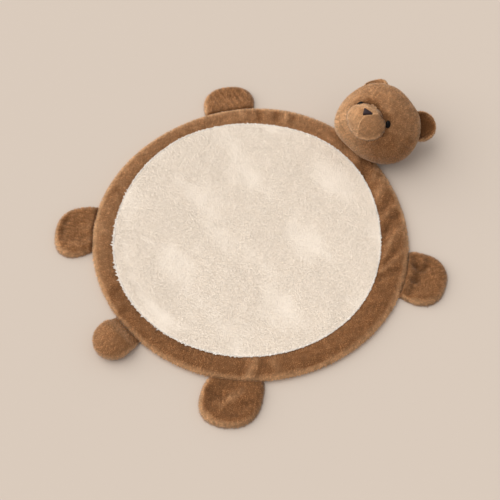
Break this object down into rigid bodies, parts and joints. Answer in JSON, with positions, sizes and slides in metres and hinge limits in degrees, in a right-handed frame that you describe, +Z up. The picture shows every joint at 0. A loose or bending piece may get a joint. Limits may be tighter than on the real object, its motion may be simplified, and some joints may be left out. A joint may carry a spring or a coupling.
{
  "type": "bear shaped kids rug",
  "caption": "Round plush play rug for a child with a cream middle, a brown padded border, a stuffed bear head lying at one end, flat paws and a round tail.",
  "frame": {"origin": "middle of the round mat, on the surface it lies on", "axes": "+Y from the tail to the head, +Z up, +X to the right seen from above with the head at the top"},
  "size_m": [0.8227, 0.9962, 0.1854],
  "materials": {
    "brown_plush": "short brushed pile",
    "cream_plush": "short brushed pile",
    "black_bead": "glossy",
    "dark_satin": "satin stitched"
  },
  "bodies": {
    "root": {"mat_body": "brown_plush", "centre_panel": "cream_plush", "head": "brown_plush", "muzzle": "brown_plush", "ear_left": "brown_plush", "ear_right": "brown_plush", "eye_left": "black_bead", "eye_right": "black_bead", "nose": "dark_satin", "arm_left": "brown_plush", "arm_right": "brown_plush", "leg_left": "brown_plush", "leg_right": "brown_plush", "tail": "brown_plush"}
  },
  "joints": []
}
